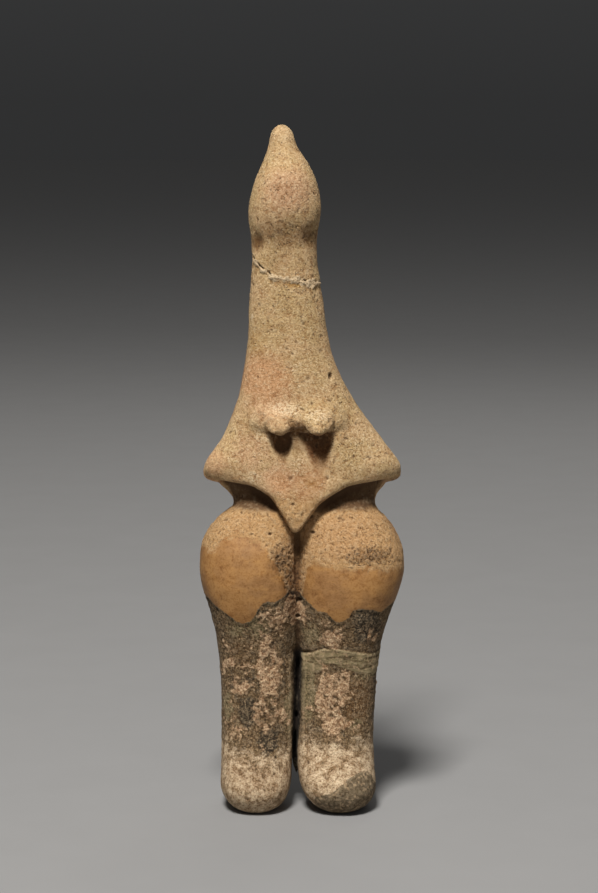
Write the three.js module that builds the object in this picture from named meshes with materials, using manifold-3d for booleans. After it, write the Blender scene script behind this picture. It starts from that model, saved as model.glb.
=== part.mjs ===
// A hand-modelled clay figurine of a standing woman, 300 mm tall, fired as one solid piece.
// Millimetres, +Z up. The front faces -Y, and the figure stands on two flat soles at Z = 0.
// The clay is worked up from members, as the potter joined them: a flat torso with stub arms that
// tapers up into the neck and the peaked head, the waist behind it, two breasts pinched out with the
// bridge between them, two legs with full thighs, and the web of clay that closes the crotch.
// Each member is a closed solid, and manifold-3d joins them into one.
import * as THREE from "three";
import { mergeVertices } from "three/addons/utils/BufferGeometryUtils.js";
import Module from "manifold-3d";

// Driving dimensions, as heights above the sole
const HEIGHT = 300; // tip of the peak
const HEAD = 263; // widest part of the head
const NECK = 249; // narrowest part of the neck
const CHEST = 169;
const BREASTS = 172;
const ARMS = 148; // ends of the arm stubs
const ARMPITS = 141.5; // underside of the arm stubs
const WAIST = 135;
const HIP_TOP = 141; // top of the thighs, up behind the torso's edge
const APRON_TIP = 124; // lowest point of the torso's V-shaped edge
const HIPS = 107; // widest part of the thighs
const KNEES = 62;
const CROTCH = 69; // the slit between the legs ends here
const INSTEP = 30; // the feet start to swell forwards
const FOOT_ROUND = 10.5; // the feet start to round under

const HEAD_WIDTH = 31.6;
const NECK_WIDTH = 28.4;
const ARM_SPAN = 87.4;
const CHEST_FRONT = -15; // depths run from the front, -Y, to the back, +Y
const CHEST_BACK = 11.5;
const APRON_FRONT = -21.5; // the torso's lower edge stands proud of the thighs
const THIGH_FRONT = -23;
const BUTTOCK_BACK = 25;
const SHIN_FRONT = -15.4;
const TOE_FRONT = -29;
const HEEL_BACK = 13.5;

const TORSO_SIDES = 38;
const WAIST_SIDES = 32;
const LEG_SIDES = 26;
const CLAY = { color: 0xb98f63, roughness: 0.85, metalness: 0 };

// A smooth curve through [height, value] pairs that never overshoots them, as a function of height.
function curve(points) {
  const secants = points.slice(1).map(([z, v], i) => (v - points[i][1]) / (z - points[i][0]));
  const slopes = points.map((_, i) => {
    if (i === 0) return secants[0];
    if (i === points.length - 1) return secants[i - 1];
    const [before, after] = [secants[i - 1], secants[i]];
    return before * after <= 0 ? 0 : (2 * before * after) / (before + after);
  });
  return (z) => {
    if (z <= points[0][0]) return points[0][1];
    if (z >= points[points.length - 1][0]) return points[points.length - 1][1];
    const i = points.findIndex((p) => p[0] > z) - 1;
    const [[z0, v0], [z1, v1]] = [points[i], points[i + 1]];
    const t = (z - z0) / (z1 - z0);
    return (
      v0 * (1 + 2 * t) * (1 - t) ** 2 +
      v1 * t * t * (3 - 2 * t) +
      (z1 - z0) * (slopes[i] * t * (1 - t) ** 2 - slopes[i + 1] * t * t * (1 - t))
    );
  };
}

// Heights for the rings: evenly turned where an end rounds over, and spacing(z) apart elsewhere.
function heights({ low, high, lowRound, highRound, spacing }) {
  const found = [];
  for (let i = 0; i < lowRound.turn; i++) {
    found.push(low + lowRound.height * (1 - Math.cos((i / lowRound.turn) * (Math.PI / 2))));
  }
  const top = high - highRound.height;
  for (let z = low + lowRound.height; z < top - 0.4 * spacing(top); z += spacing(z)) found.push(z);
  for (let i = 0; i <= highRound.turn; i++) {
    found.push(top + highRound.height * Math.sin((i / highRound.turn) * (Math.PI / 2)));
  }
  return found;
}

// How much of the section's size is left at a height, where the ends round over.
function rounding({ low, high, lowRound, highRound }, z) {
  const below = Math.max(0, low + lowRound.height - z) / lowRound.height;
  const above = Math.max(0, z - high + highRound.height) / highRound.height;
  const lost = (share, inset) => inset * (1 - Math.sqrt(Math.max(0, 1 - share * share)));
  return 1 - lost(below, lowRound.inset) - lost(above, highRound.inset);
}

// A closed solid from rings stacked in height. left, right, front, back and square are functions of
// height, and square is 2 for an ellipse, less for a pointed section and more for a boxy one. An
// inset of 1 closes an end to a point, and a smaller one leaves a flat face.
function member(form) {
  const { left, right, front, back, square, sides } = form;
  const positions = [];
  const rings = heights(form);
  for (const z of rings) {
    const size = Math.max(1e-3, rounding(form, z));
    const bent = (v) => Math.sign(v) * Math.abs(v) ** (2 / square(z));
    for (let i = 0; i < sides; i++) {
      const turn = ((i + 0.5) / sides) * 2 * Math.PI;
      const across = ((right(z) - left(z)) / 2) * size * bent(Math.cos(turn));
      const deep = ((back(z) - front(z)) / 2) * size * bent(Math.sin(turn));
      positions.push((left(z) + right(z)) / 2 + across, (front(z) + back(z)) / 2 + deep, z);
    }
  }
  const index = [];
  for (let k = 0; k < rings.length - 1; k++) {
    for (let i = 0; i < sides; i++) {
      const a = k * sides + i;
      const b = k * sides + ((i + 1) % sides);
      index.push(a, b, b + sides, a, b + sides, a + sides);
    }
  }
  for (const [k, facesUp] of [[0, false], [rings.length - 1, true]]) {
    const z = rings[k];
    const centre = positions.length / 3;
    positions.push((left(z) + right(z)) / 2, (front(z) + back(z)) / 2, z);
    for (let i = 0; i < sides; i++) {
      const edge = [k * sides + i, k * sides + ((i + 1) % sides)];
      index.push(centre, ...(facesUp ? edge : edge.reverse()));
    }
  }
  return new THREE.BufferGeometry()
    .setAttribute("position", new THREE.Float32BufferAttribute(positions, 3))
    .setIndex(index);
}

// A rounded lump of clay whose upper and lower halves can differ in height. droop turns its front end
// down, in degrees.
function lump({ at, width, depth, up, down, detail, droop = 0 }) {
  const ball = new THREE.SphereGeometry(1, detail, detail).rotateX(Math.PI / 2);
  const p = ball.getAttribute("position");
  for (let i = 0; i < p.count; i++) {
    const z = p.getZ(i);
    p.setXYZ(i, p.getX(i) * width, p.getY(i) * depth, z * (z > 0 ? up : down));
  }
  return ball.rotateX(THREE.MathUtils.degToRad(droop)).translate(...at);
}

// Torso, stub arms, neck and head in one taper. The lower edge is a V, like an apron over the thighs,
// and the neck and the head lean to the figure's right.
function torso() {
  const halfWidth = curve([
    [APRON_TIP, 1.2], [128, 3.9], [132, 6.6], [136, 9.6], [139, 12.9], [ARMPITS, 20], [143, 29],
    [145.5, 41.6], [ARMS, ARM_SPAN / 2], [153, 42.6], [161, 36.7],
    [CHEST, 32.1], [178.5, 26.6], [187, 23], [204, 18.1], [222, 16.3], [NECK, NECK_WIDTH / 2],
    [HEAD, HEAD_WIDTH / 2], [274, 14], [283, 10.2], [292, 5.7], [HEIGHT, 4.6],
  ]);
  const lean = curve([[APRON_TIP, -2], [136, -1], [142, 0.6], [150, 1], [160, 1.2], [178, -1.5], [204, -4.9],
    [NECK, -6.7], [280, -6.2], [292, -7.8]]);
  return member({
    low: APRON_TIP,
    high: HEIGHT,
    lowRound: { height: 2, inset: 0.6, turn: 2 },
    highRound: { height: 6, inset: 1, turn: 5 },
    spacing: curve([[APRON_TIP, 2.4], [137, 1.8], [142, 1.3], [147, 1.8], [160, 5.6], [NECK, 5.6],
      [HEAD, 3.4], [292, 2.6]]),
    sides: TORSO_SIDES,
    square: curve([[APRON_TIP, 3.6], [136, 3.4], [141, 2.6], [144, 1.8], [148, 1.8], [153, 2.2],
      [180, 2.3], [210, 2.1]]),
    left: (z) => lean(z) - halfWidth(z),
    right: (z) => lean(z) + halfWidth(z),
    front: curve([
      [APRON_TIP, APRON_FRONT + 1], [130, APRON_FRONT], [140, -19.4], [152, -16.4], [CHEST, CHEST_FRONT],
      [205, -13.4], [240, -12.4], [NECK, -13], [HEAD, -16.4], [275, -14.2], [284, -9.4], [292, -6],
      [HEIGHT, -5],
    ]),
    back: curve([
      [APRON_TIP, 5], [134, 7.6], [ARMPITS, 10.4], [152, 11], [180, CHEST_BACK], [240, 11.6], [NECK, 12.6],
      [HEAD, 15], [275, 12.6], [284, 8.4], [292, 5], [HEIGHT, 4],
    ]),
  });
}

// The waist, set back from the torso's V-shaped edge, runs from inside the hips up under the arms.
function waist() {
  return member({
    low: APRON_TIP - 14,
    high: WAIST + 22,
    lowRound: { height: 1, inset: 0.1, turn: 1 },
    highRound: { height: 6, inset: 0.5, turn: 2 },
    spacing: curve([[120, 4], [130, 2], [142, 2], [150, 4]]),
    sides: WAIST_SIDES,
    square: () => 2.2,
    left: curve([[112, -35], [122, -36], [128, -34], [132, -31], [WAIST, -29], [139, -30.6],
      [143.5, -35.5], [150, -37]]),
    right: curve([[112, 37], [122, 38], [128, 36.6], [132, 34.6], [WAIST, 32.9], [139, 33.8],
      [143.5, 37.5], [150, 39]]),
    front: curve([[112, -9], [123, -11.5], [WAIST, -12.5], [144, -11.5]]),
    back: curve([[112, 9], [124, 11.8], [WAIST, 11.2], [142, 10.6], [150, 5]]),
  });
}

// One leg, from the dome of the thigh to the sole, between its outer and its inner outline. The foot
// is rounded underneath, most of all at the toe, so that the sole is narrower than the foot.
function leg(outline) {
  return member({
    low: 0,
    high: HIP_TOP,
    lowRound: { height: FOOT_ROUND, inset: 0.03, turn: 5 },
    highRound: { height: 12, inset: 1, turn: 4 },
    spacing: curve([[FOOT_ROUND, 4], [35, 4.8], [90, 5], [105, 4], [118, 3]]),
    sides: LEG_SIDES,
    square: () => 2.4,
    ...outline,
    front: curve([
      [0, TOE_FRONT + 8], [1.9, TOE_FRONT + 4.4], [4.1, TOE_FRONT + 2.2], [6.9, TOE_FRONT + 0.7],
      [FOOT_ROUND, TOE_FRONT], [14, TOE_FRONT + 1.5], [20, -22.6], [INSTEP, -16.8],
      [42, SHIN_FRONT], [KNEES, -15.6], [78, -18], [92, -22], [102, THIGH_FRONT], [114, -21.8],
      [123, -18.4], [131, -15], [HIP_TOP, -12],
    ]),
    back: curve([
      [0, HEEL_BACK - 3], [1.9, HEEL_BACK - 1.4], [4.1, HEEL_BACK - 0.4], [FOOT_ROUND, HEEL_BACK],
      [INSTEP, 12.2], [KNEES, 13.4], [76, 17], [92, 22.6],
      [104, BUTTOCK_BACK], [114, 23.6], [124, 18.5], [132, 13], [HIP_TOP, 9],
    ]),
  });
}

const leftLeg = () =>
  leg({
    left: curve([
      [0, -27.4], [1.9, -31.2], [4.1, -33.1], [6.9, -34.6], [FOOT_ROUND, -35.3], [45, -35.3],
      [KNEES, -35.7], [75, -37.1], [92, -41.3], [101, -43.7], [HIPS, -44.3], [114.5, -43.9],
      [120, -42.2], [125, -39], [129.5, -35.2], [133.5, -31], [HIP_TOP, -26],
    ]),
    right: curve([
      [0, -11.2], [1.9, -7.8], [4.1, -6], [6.9, -4.9], [FOOT_ROUND, -4.1], [27, -3], [40, -2],
      [65, -1.5], [CROTCH, -1.1], [80, 0.8], [HIP_TOP, 1.5],
    ]),
  });

const rightLeg = () =>
  leg({
    left: curve([
      [0, 9.6], [1.9, 6], [4.1, 3.6], [6.9, 1.6], [FOOT_ROUND, 0.2], [16, -1.1], [27, -1.8],
      [40, -1.2], [65, -0.3], [80, -2], [HIP_TOP, -2.5],
    ]),
    right: curve([
      [0, 25.4], [1.9, 29.2], [4.1, 31.4], [6.9, 33], [FOOT_ROUND, 34], [27, 33.1], [KNEES, 34.5],
      [75, 36.8], [92, 41.9], [101, 45.2], [HIPS, 46.3], [114.5, 45.6], [120, 43.6], [125, 40.6],
      [129.5, 37.2], [133.5, 33.4], [HIP_TOP, 28],
    ]),
  });

// The clay pressed into the crotch closes the slit above the knees. Below them the calves lean on each
// other, so the slit is a deep groove in front and behind, and opens only between the feet.
const webs = () => [
  lump({ at: [-0.7, 1, 98], width: 7, depth: 14.4, up: 32, down: 98 - CROTCH, detail: 14 }),
  lump({ at: [-1.7, 5, 46], width: 3.2, depth: 5.4, up: 32, down: 36, detail: 10 }),
];

// Each breast is a pinch of clay drawn out forwards and down from a low mound, so that it slopes out
// from above, ends in a small nub and overhangs below. A ridge, the bridge, joins the two. Under each
// the thumb left a scoop, deep below the breast and running out down the belly.
const BREAST_DROOP = 38; // degrees below level
const NUB_DROOP = 30;
const MOUND_LEAN = -8; // degrees, the top leaning in
const RIGHT_BREAST = -8.2; // the figure's own right, across from the middle
const LEFT_BREAST = 8;
const SCOOP_LEAN = -20;

const pinch = (x, width, out = 0) =>
  lump({
    at: [x, -13.6 - out, BREASTS + 2.2], width, depth: 9.6, up: 4.4, down: 3.8, detail: 11,
    droop: BREAST_DROOP,
  });

const nub = (x, width, out = 0) =>
  lump({
    at: [x, -19.2 - out, BREASTS - 1.6], width, depth: 3.6, up: 2.8, down: 2.8, detail: 8,
    droop: NUB_DROOP,
  });

const bridge = () =>
  lump({
    at: [-0.3, -13.4, BREASTS + 3], width: 9, depth: 7, up: 4, down: 3.4, detail: 8, droop: BREAST_DROOP,
  });

const mound = () =>
  lump({
    at: [-0.6, -12.6, BREASTS], width: 22, depth: 4.2, up: 15, down: 6, detail: 10, droop: MOUND_LEAN,
  });

const scoop = (x, width) =>
  lump({ at: [x, -17.6, BREASTS - 9], width, depth: 4.3, up: 6, down: 9, detail: 11, droop: SCOOP_LEAN });

const wasm = await Module();
wasm.setup();

function solid(geometry) {
  for (const name of ["normal", "uv"]) geometry.deleteAttribute(name);
  const merged = mergeVertices(geometry, 1e-3);
  return new wasm.Manifold(
    new wasm.Mesh({
      numProp: 3,
      vertProperties: merged.getAttribute("position").array,
      triVerts: new Uint32Array(merged.index.array),
    }),
  );
}

// The solid as a three.js geometry, moved so that the origin is below the middle of its box.
function geometryOf(whole) {
  const { vertProperties, triVerts, numProp } = whole.getMesh();
  const positions = new Float32Array((vertProperties.length / numProp) * 3);
  for (let i = 0; i < positions.length / 3; i++) {
    positions.set(vertProperties.subarray(i * numProp, i * numProp + 3), i * 3);
  }
  const geometry = new THREE.BufferGeometry()
    .setAttribute("position", new THREE.BufferAttribute(positions, 3))
    .setIndex(new THREE.BufferAttribute(triVerts, 1));
  geometry.computeBoundingBox();
  const middle = geometry.boundingBox.getCenter(new THREE.Vector3());
  geometry.translate(-middle.x, -middle.y, -geometry.boundingBox.min.z);
  geometry.computeVertexNormals();
  return geometry;
}

const rightBreast = [pinch(RIGHT_BREAST - 0.8, 7), nub(RIGHT_BREAST, 2.8)];
const leftBreast = [pinch(LEFT_BREAST, 7, 1), nub(LEFT_BREAST, 3.8, 1)];
const breasts = [mound(), bridge(), ...rightBreast, ...leftBreast];
const scoops = [scoop(RIGHT_BREAST + 0.8, 4.8), scoop(LEFT_BREAST + 0.4, 5.8)];
const members = [torso(), waist(), leftLeg(), rightLeg(), ...webs(), ...breasts];
const joined = members.map(solid).reduce((all, next) => all.add(next));
const whole = scoops.map(solid).reduce((all, next) => all.subtract(next), joined);

const figurine = new THREE.Mesh(geometryOf(whole), new THREE.MeshStandardMaterial(CLAY));
figurine.name = "figurine";

const part = new THREE.Group();
part.add(figurine);

export default part;
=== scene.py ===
# %% [markdown]
# # A hand-modelled clay figurine, weathered and mended
# The object is a standing woman of fired clay, 300 mm tall and made in one piece. Her potter pinched the
# breasts out of the chest, pressed the neck in under the head, and coated the body with a fine orange
# slip that was rubbed to a low sheen. Centuries in the ground took most of the slip away.
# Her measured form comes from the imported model. This lesson puts the surface on that form.

import itertools
import math

import bpy
import numpy as np
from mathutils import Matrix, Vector


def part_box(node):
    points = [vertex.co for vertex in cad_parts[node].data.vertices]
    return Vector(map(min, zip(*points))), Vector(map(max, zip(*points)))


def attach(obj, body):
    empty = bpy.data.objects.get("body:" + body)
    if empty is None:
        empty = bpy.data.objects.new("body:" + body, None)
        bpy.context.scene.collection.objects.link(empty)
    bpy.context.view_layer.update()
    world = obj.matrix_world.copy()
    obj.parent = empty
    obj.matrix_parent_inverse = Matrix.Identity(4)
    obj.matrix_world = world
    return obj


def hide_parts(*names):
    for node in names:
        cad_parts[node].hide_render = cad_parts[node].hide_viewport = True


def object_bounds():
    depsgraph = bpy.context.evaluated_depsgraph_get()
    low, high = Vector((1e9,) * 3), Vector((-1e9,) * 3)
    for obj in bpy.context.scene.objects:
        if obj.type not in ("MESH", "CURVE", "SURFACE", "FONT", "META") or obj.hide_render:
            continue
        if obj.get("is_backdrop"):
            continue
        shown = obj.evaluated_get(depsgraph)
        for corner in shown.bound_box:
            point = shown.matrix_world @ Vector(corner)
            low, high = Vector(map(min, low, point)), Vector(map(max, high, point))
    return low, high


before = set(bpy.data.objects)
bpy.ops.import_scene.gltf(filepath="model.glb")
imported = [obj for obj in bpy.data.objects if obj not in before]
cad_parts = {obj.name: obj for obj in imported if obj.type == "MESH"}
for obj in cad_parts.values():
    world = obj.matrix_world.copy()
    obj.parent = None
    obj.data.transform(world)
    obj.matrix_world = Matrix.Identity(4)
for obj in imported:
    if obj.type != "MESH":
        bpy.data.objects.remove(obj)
cad_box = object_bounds()
low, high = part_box("figurine")
MM = 0.001
print(f"form: {(high.x - low.x) / MM:.1f} x {(high.y - low.y) / MM:.1f} x {high.z / MM:.1f} mm")

# %% [markdown]
# ## A skin fine enough to carry the wear
# The measured form is made of flat facets 3 to 5 mm across, while the wear is finer than a millimetre.
# A voxel remesh is a good start for clay: it gives one closed skin of even little squares. Subdividing
# the facets would keep their uneven layout instead. Smoothing then takes the facets' corners away. It
# works harder on the broad forms than on the breasts, the soles and the torso's V-shaped edge.

# %% Copy the form and remesh it
VOXEL = 0.52 * MM


def bake_modifiers(piece):
    """Turn the piece's modifiers into its mesh."""
    ready = piece.evaluated_get(bpy.context.evaluated_depsgraph_get())
    piece.data = bpy.data.meshes.new_from_object(ready)
    piece.modifiers.clear()


def points_of(mesh):
    """The mesh's points in millimetres, one row each."""
    found = np.empty(len(mesh.vertices) * 3, np.float32)
    mesh.vertices.foreach_get("co", found)
    return found.reshape(-1, 3).astype(float) / MM


def normals_of(mesh):
    """The way that the surface faces at each point."""
    found = np.empty(len(mesh.vertices) * 3, np.float32)
    mesh.vertex_normals.foreach_get("vector", found)
    return found.reshape(-1, 3).astype(float)


clay = bpy.data.objects.new("clay_body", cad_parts["figurine"].data.copy())
bpy.context.scene.collection.objects.link(clay)
weld = clay.modifiers.new("weld", "WELD")
weld.merge_threshold = 0.01 * MM
skin = clay.modifiers.new("skin", "REMESH")
skin.mode = "VOXEL"
skin.voxel_size = VOXEL
bake_modifiers(clay)
clay.data.materials.clear()
print(f"remeshed skin: {len(clay.data.vertices)} points")

# %% Smooth the facets away
FINE_ROUNDS = 16
BROAD_ROUNDS = 44
APRON_EDGE = ([-42, -30, -21, -14.5, -11.6, -8.9, -6.5, -4.2, -3, -1.8, 1.3, 4.3, 7.6, 11.7,
               19.5, 28.7, 42],
              [145.5, 143.2, 141.8, 139.2, 136, 132, 128, 124.3, 123.6, 124.3, 128, 132, 136, 139,
               141.6, 143.2, 145.7])


def ramp(value, start, end):
    """0 before start, 1 after end, and a soft rise between them."""
    t = np.clip((value - start) / (end - start), 0, 1)
    return t * t * (3 - 2 * t)


def border(line, x):
    """The height of a border at each place across the body."""
    return np.interp(x, *line)


def ellipse(x, z, middle, size):
    """1 at the middle, 0 at the rim and less outside, seen from the front."""
    return 1 - np.hypot((x - middle[0]) / size[0], (z - middle[1]) / size[1])


start = points_of(clay.data)
x, y, z = start.T
forward = ramp(-y, 0, 6)
breast_shelf = ramp(ellipse(x, z, (-1, 165.5), (17, 7)), 0, 0.4) * forward
near_tip = ramp(18 - np.abs(x + 3), 0, 9)
at_edge = ramp(4 + near_tip - np.abs(z - border(APRON_EDGE, x)), 0, 2.5) * ramp(10 - y, 0, 6)
at_edge *= 0.1 + 0.9 * near_tip
at_sole = ramp(9 - z, 0, 7)
crisp = np.maximum(np.maximum(breast_shelf, at_edge), at_sole)
broad = clay.vertex_groups.new(name="broad")
for step in range(5):
    chosen = np.nonzero(np.round((1 - crisp) * 4) == step)[0]
    broad.add(chosen.tolist(), step / 4, "REPLACE")
for name, rounds in (("fine", FINE_ROUNDS), ("broad", BROAD_ROUNDS)):
    smooth = clay.modifiers.new(name, "SMOOTH")
    smooth.factor = 0.5
    smooth.iterations = rounds
    if name == "broad":
        smooth.vertex_group = "broad"
bake_modifiers(clay)
clay.vertex_groups.clear()
rest = points_of(clay.data)
facing = normals_of(clay.data)
print(f"smoothing moved the skin by {np.linalg.norm(rest - start, axis=1).mean():.2f} mm on average")

# %% [markdown]
# ## Randomness that repeats
# Worn clay needs hills, grains and pits that look random, and yet come out the same each time. Both
# helpers below scramble the numbers of a lattice cell into a fixed value. `hills` blends those values
# into soft rises. `strewn` drops one grain in each cell, and says how far away the nearest one is.

# %% Helpers for hills and strewn grains
TURN = np.array([[0.36, 0.48, -0.8], [-0.8, 0.6, 0.0], [0.48, 0.64, 0.6]])


def scramble(cells, seed):
    """A fixed number from 0 to 1 for each lattice cell."""
    c = (cells + 4096).astype(np.uint32)
    mixed = c[:, 0] * np.uint32(73856093) ^ c[:, 1] * np.uint32(19349663)
    mixed = mixed ^ c[:, 2] * np.uint32(83492791) ^ np.uint32(seed * 40503 + 977)
    for shift, factor in ((15, 2246822519), (13, 3266489917), (16, 668265263)):
        mixed = (mixed ^ (mixed >> np.uint32(shift))) * np.uint32(factor)
    return (mixed ^ (mixed >> np.uint32(15))) / 4294967296.0


def hills(points, size, seed, layers=2):
    """Soft random rises about size mm across, from -1 to 1, each layer half as wide as the last."""
    total, height, sum_of_heights = 0, 1.0, 0
    for layer in range(layers):
        points = points @ TURN.T
        spot = points / size * 2**layer
        cell = np.floor(spot).astype(np.int64)
        t = spot - cell
        t = t * t * (3 - 2 * t)
        value = 0
        for corner in itertools.product((0, 1), repeat=3):
            share = np.prod(np.where(corner, t, 1 - t), axis=1)
            value = value + share * scramble(cell + np.array(corner), seed + layer)
        total = total + height * (2 * value - 1)
        sum_of_heights += height
        height *= 0.55
    return total / sum_of_heights * 1.6


def strewn(points, size, seed):
    """How far in mm the nearest grain is, with one grain to a cell size mm wide, and its own number."""
    spot = points / size
    cell = np.floor(spot).astype(np.int64)
    nearest = np.full(len(points), 9.0)
    own = np.zeros(len(points))
    for step in itertools.product((-1, 0, 1), repeat=3):
        there = cell + np.array(step)
        grain = there + np.stack([scramble(there, seed + k) for k in range(3)], axis=1)
        away = np.linalg.norm(spot - grain, axis=1)
        nearer = away < nearest
        nearest = np.where(nearer, away, nearest)
        own = np.where(nearer, scramble(there, seed + 7), own)
    return nearest * size, own


print(f"hills run from {hills(rest, 9, 2).min():.2f} to {hills(rest, 9, 2).max():.2f}")

# %% [markdown]
# ## A map of what is left of each finish
# From the top down the figure has bare, pitted clay, then rough clay on top of the thighs, then the
# orange slip across the thighs, a grey and brown crusted skin on the legs, and pale feet. A function
# draws each border as a height that changes with the place across the body. Borders become ragged by
# adding hills. On the back the same borders are bent much more, because no two sides weather alike.

# %% Draw the borders
SLIP_TOP = ([-41, -35, -30, -25, -20, -15.4, -12.5, -10, -8, -6.5, -4, -1, 0.8, 2.2, 5, 13, 20, 30, 43],
            [116, 120.4, 123.5, 123.4, 121.6, 118.5, 113, 108.5, 104, 97, 90, 90, 98, 108, 111.5,
             109.6, 109.8, 109.9, 108])
SLIP_FOOT = ([-41, -36.6, -33.6, -30.6, -28.5, -25.7, -22.7, -20.5, -19.4, -17.5, -14.8, -11.8, -8.9,
              -6, -1, 4, 7, 10.6, 12.8, 15, 17.7, 20.7, 21.9, 25, 30, 34.6, 37, 43],
             [95, 91.2, 89.3, 87.3, 85.3, 84.7, 85.9, 88.3, 91.3, 93.8, 95, 94.4, 96.2,
              99, 97, 92.5, 90.1, 89.6, 87.4, 85.3, 85.9, 87.6, 91.2, 92.2, 91, 89.5, 91.3, 93])
FOOT_TOP = ([-40, -30, -20, -12, -5, 0, 8, 16, 24, 34], [26, 27, 22, 21, 26, 29, 31, 27, 28, 30])


def zones(points, out):
    """How far inside each zone the points are, in mm, and how much they face the front."""
    x, y, z = points.T
    front = ramp(-out[:, 1], -0.1, 0.4)
    bend = 1 + 7 * ramp(y, -4, 10)
    ragged = hills(points, 2.4, 11)
    wander = hills(points, 15, 12) * (bend - 1)
    rough_top = border(SLIP_TOP, x) - z + 1.4 * ragged + 0.8 * wander
    leg_top = border(SLIP_FOOT, x) - z + 0.35 * ragged + wander
    return {
        "front": front,
        "slip": rough_top,
        "thigh": np.minimum(-rough_top, 139 - z),
        "legs": leg_top,
        "feet": border(FOOT_TOP, x) - z + 1.6 * ragged + 2.5 * hills(points, 7, 13),
    }


area = zones(rest, facing)
print("share of the skin in each zone:", {k: round(float((v > 0).mean()), 2) for k, v in area.items()})

# %% [markdown]
# ## Shapes that the potter made
# Clay squeezed by hand is never even, so the skin first gets a slow swell of a few tenths of a
# millimetre. Then come the potter's own marks: two thumb dents under the head, fuller arm stubs, the
# rounded lower edge of the torso, the groove between the thighs, and the scoops under the breasts.
# They could be sculpted by hand, but a small formula for each one can be read and changed. It pushes
# the skin in or out along the way it faces, so the skin stays closed.

# %% Dent the neck and fill out the arms
x, y, z = rest.T
front = area["front"]
push = 0.30 * hills(rest, 24, 21) + 0.13 * hills(rest, 8, 22)

NECK_DENTS = ((-19.0, -6.6, 250.2, 3.6, 1.3), (3.6, -7.2, 251.5, 4.2, 1.25))
for spot_x, spot_y, spot_z, reach, deep in NECK_DENTS:
    away = np.linalg.norm(rest - (spot_x, spot_y, spot_z), axis=1)
    push -= deep * np.exp(-((away / reach) ** 2))

ARM_SWELLS = ((-35, 157, 9, 1.5), (36, 155, 9, 1.2))
for middle_x, middle_z, reach, high_up in ARM_SWELLS:
    away = np.hypot(x - middle_x, z - middle_z)
    push += high_up * np.exp(-((away / reach) ** 2)) * front
print(f"swell, dents and arms: from {push.min():.2f} to {push.max():.2f} mm")

# %% Round the torso's lower edge
over_edge = z - border(APRON_EDGE, x)
beside_edge = ramp(25 - np.abs(x + 1), 0, 6) * front
away_from_tip = ramp(np.abs(x + 1), 11, 24)
push += 0.3 * np.exp(-(((over_edge - 2.2) / 1.7) ** 2)) * beside_edge * (1 - away_from_tip)
push -= 1.3 * np.exp(-(((over_edge + 1.8) / 1.4) ** 2)) * beside_edge * ramp(np.abs(x + 2), 8, 15)
push -= 2.4 * np.clip(1 - np.abs(over_edge) / 8, 0, 1) ** 2 * away_from_tip * front
waist_fold = ramp(over_edge, -8, -2.5) * ramp(-over_edge, -0.5, 1) * ramp(np.abs(x + 1), 6, 14) * front
push -= 1.6 * waist_fold
print(f"lower edge: {int((waist_fold > 0.5).sum())} points folded in at the waist")

# %% Close in the slit and press the groove
inner_calf = ramp(4.8 - np.abs(x + 2.4), 0, 1.6) * ramp(-y, 5, 9) * ramp(70 - z, 0, 4) * ramp(z, 20, 30)
push += 0.95 * inner_calf

groove_at = -2.0 + 0.5 * hills(rest * (0, 0, 1), 9, 23)
groove = np.exp(-(((x - groove_at) / 1.2) ** 2)) * ramp(z, 66, 74) * ramp(126 - z, 0, 6)
push -= (0.7 + 0.9 * ramp(z, 98, 108)) * groove * front
print(f"potter's marks: from {push.min():.2f} to {push.max():.2f} mm")

# %% Break up the breasts and hollow them beneath
BREAST_ROOT = (-1.5, 172)
BREAST_REACH = (21, 11)
SCOOPS = ((-9.6, 168.6, 5.8, 15.0), (6.4, 168.4, 7.6, 21.0))

craggy = ramp(ellipse(x, z, BREAST_ROOT, BREAST_REACH), 0, 0.5) * front
push += craggy * (0.25 * hills(rest, 5, 31) + 0.32 * hills(rest, 2.2, 32) + 0.25 * hills(rest, 1.1, 33))


def scooped(x, z):
    """1 in the wedge-shaped scoop under each breast, which narrows to a point on the belly."""
    found = np.zeros(len(x))
    for middle_x, top, half_width, length in SCOOPS:
        down = (top - z) / length
        half = half_width * np.clip(1 - down, 0, 1) ** 0.8
        inside = ramp(half + 1.6 - np.abs(x - middle_x - 1.6 * down), 0, 3.2)
        found = np.maximum(found, inside * ramp(down, -0.03, 0.08) * ramp(1.1 - down, 0, 0.7))
    return found


under_breasts = scooped(x, z) * front
push -= 1.5 * under_breasts
print(f"hollows and folds reach {-(push.min()):.1f} mm deep")

# %% [markdown]
# ## Breaks and mends
# The neck snapped once and was glued back: a crooked crack runs right round it, and beads of pale
# filler fill its front. The right leg has an old break below the knee that was smeared over, which left
# fine level scratches. A crack is a line drawn round the limb, as a height for each angle about its
# axis. How near a point is to that line gives the cut and the bead of filler beside it.

# %% Cut the crack in the neck
NECK_AXIS = (-7.0, 1.7)
CRACK = ([-180, -140, -90, -66, -55, -41, -30, -14, 0, 13, 28, 47, 90, 130, 160, 180],
         [238, 242.5, 244.5, 241.8, 239.7, 237.7, 236, 235.3, 234.8, 234.7, 233.8, 232.9, 232.2,
          235, 236, 238])
FILLER_BEADS = ((-11.8, 234.8, 3.8, 1.9), (-7.2, 234.2, 3.2, 1.5), (-2.4, 233.6, 3.4, 2.0),
                (4.0, 231.9, 4.2, 2.6), (-20.0, 241.2, 1.4, 1.9), (-16.6, 237.4, 1.8, 1.2))


def crack_height(points, line, axis):
    """How far above the crack's line the points are, in mm."""
    turn = np.degrees(np.arctan2(points[:, 0] - axis[0], axis[1] - points[:, 1]))
    return points[:, 2] - np.interp(turn, *line)


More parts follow.
